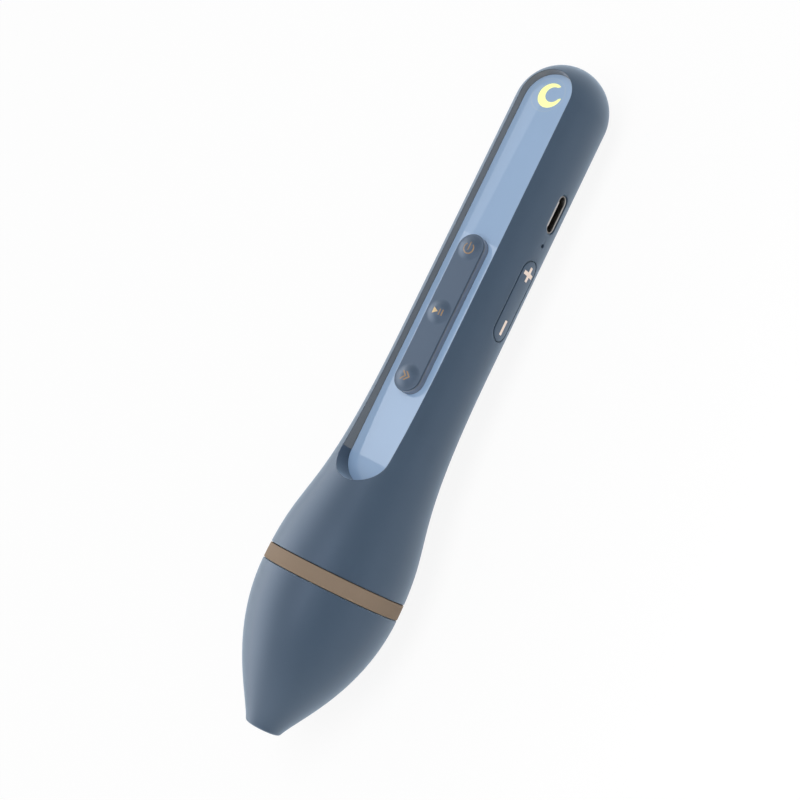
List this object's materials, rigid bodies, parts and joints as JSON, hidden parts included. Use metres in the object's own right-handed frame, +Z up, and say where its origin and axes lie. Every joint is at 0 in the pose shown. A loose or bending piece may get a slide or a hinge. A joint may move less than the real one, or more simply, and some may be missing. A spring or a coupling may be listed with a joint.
{
  "type": "audio reading pen",
  "caption": "Turned reading pen with a cone nose, a belly and a straight handle, a slotted key panel with domed keys, a crescent light, a side volume rocker and a charging socket",
  "frame": {"origin": "middle of the resting pen's box, on the surface that it lies on", "axes": "+X from the tip towards the top end, +Z up out of the key side, -Y towards the charging socket and the volume rocker; the pen's own axis dips 2.52 degrees towards the top end, because the belly is thicker than the handle"},
  "size_m": [0.159, 0.0316, 0.0316],
  "materials": {
    "slate_plastic": "soft satin slate blue",
    "bronze": "satin bronze",
    "blue_gloss": "polished light blue",
    "key_rubber": "satin slate blue",
    "moon_yellow": "lit pale yellow diffuser",
    "light_guide": "milky diffuser",
    "black_plastic": "moulded black",
    "dark_glass": "infrared window",
    "clear_glass": "polished lens",
    "circuit_green": "solder mask green",
    "bright_steel": "plated steel",
    "cell_blue": "cell in a blue sleeve",
    "foam": "black foam",
    "paper_cone": "coated paper",
    "lead_red": "red insulation",
    "ribbon_amber": "amber flat cable"
  },
  "bodies": {
    "pen_body": {"nose_cone": "slate_plastic", "tip_window": "dark_glass", "trim_ring": "bronze", "upper_housing": "slate_plastic", "front_panel": "blue_gloss", "moon_lens": "moon_yellow", "light_guide": "light_guide", "moon_led": "light_guide", "keypad_base": "key_rubber", "keypad_skin": "key_rubber", "main_board": "circuit_green", "switch_power": "bright_steel", "switch_play": "bright_steel", "switch_next": "bright_steel", "processor": "black_plastic", "flash_memory": "black_plastic", "amplifier": "black_plastic", "board_screw_1": "bright_steel", "board_screw_2": "bright_steel", "board_screw_3": "bright_steel", "usb_shell": "bright_steel", "usb_tongue": "black_plastic", "microphone": "bright_steel", "rocker_pin": "bright_steel", "switch_volume_up": "bright_steel", "switch_volume_down": "bright_steel", "volume_board": "circuit_green", "battery": "cell_blue", "battery_cradle": "black_plastic", "battery_lead_plus": "lead_red", "battery_lead_minus": "black_plastic", "speaker_gasket": "foam", "speaker_basket": "bright_steel", "speaker_cone": "paper_cone", "speaker_magnet": "bright_steel", "optic_holder": "black_plastic", "optic_lens": "clear_glass", "sensor_board": "circuit_green", "image_sensor": "black_plastic", "infrared_led_left": "dark_glass", "infrared_led_right": "dark_glass", "sensor_screw_left": "bright_steel", "sensor_screw_right": "bright_steel", "sensor_ribbon": "ribbon_amber"},
    "power_key": {"power_button": "key_rubber"},
    "play_key": {"play_button": "key_rubber"},
    "next_key": {"next_button": "key_rubber"},
    "volume_key": {"volume_rocker": "slate_plastic"}
  },
  "joints": [
    {"name": "power_press", "type": "slide", "parent": "pen_body", "child": "power_key", "axis": [-0.044, 0, -0.999], "range_m": [0, 0.0004], "stiffness_N_per_m": 1500},
    {"name": "play_press", "type": "slide", "parent": "pen_body", "child": "play_key", "axis": [-0.044, 0, -0.999], "range_m": [0, 0.0004], "stiffness_N_per_m": 1500},
    {"name": "next_press", "type": "slide", "parent": "pen_body", "child": "next_key", "axis": [-0.044, 0, -0.999], "range_m": [0, 0.0004], "stiffness_N_per_m": 1500},
    {"name": "volume_rock", "type": "hinge", "parent": "pen_body", "child": "volume_key", "pos_m": [0.02528, -0.008, 0.01268], "axis": [0.044, 0, 0.999], "range_deg": [-2, 2], "stiffness_Nm_per_rad": 0.1}
  ]
}
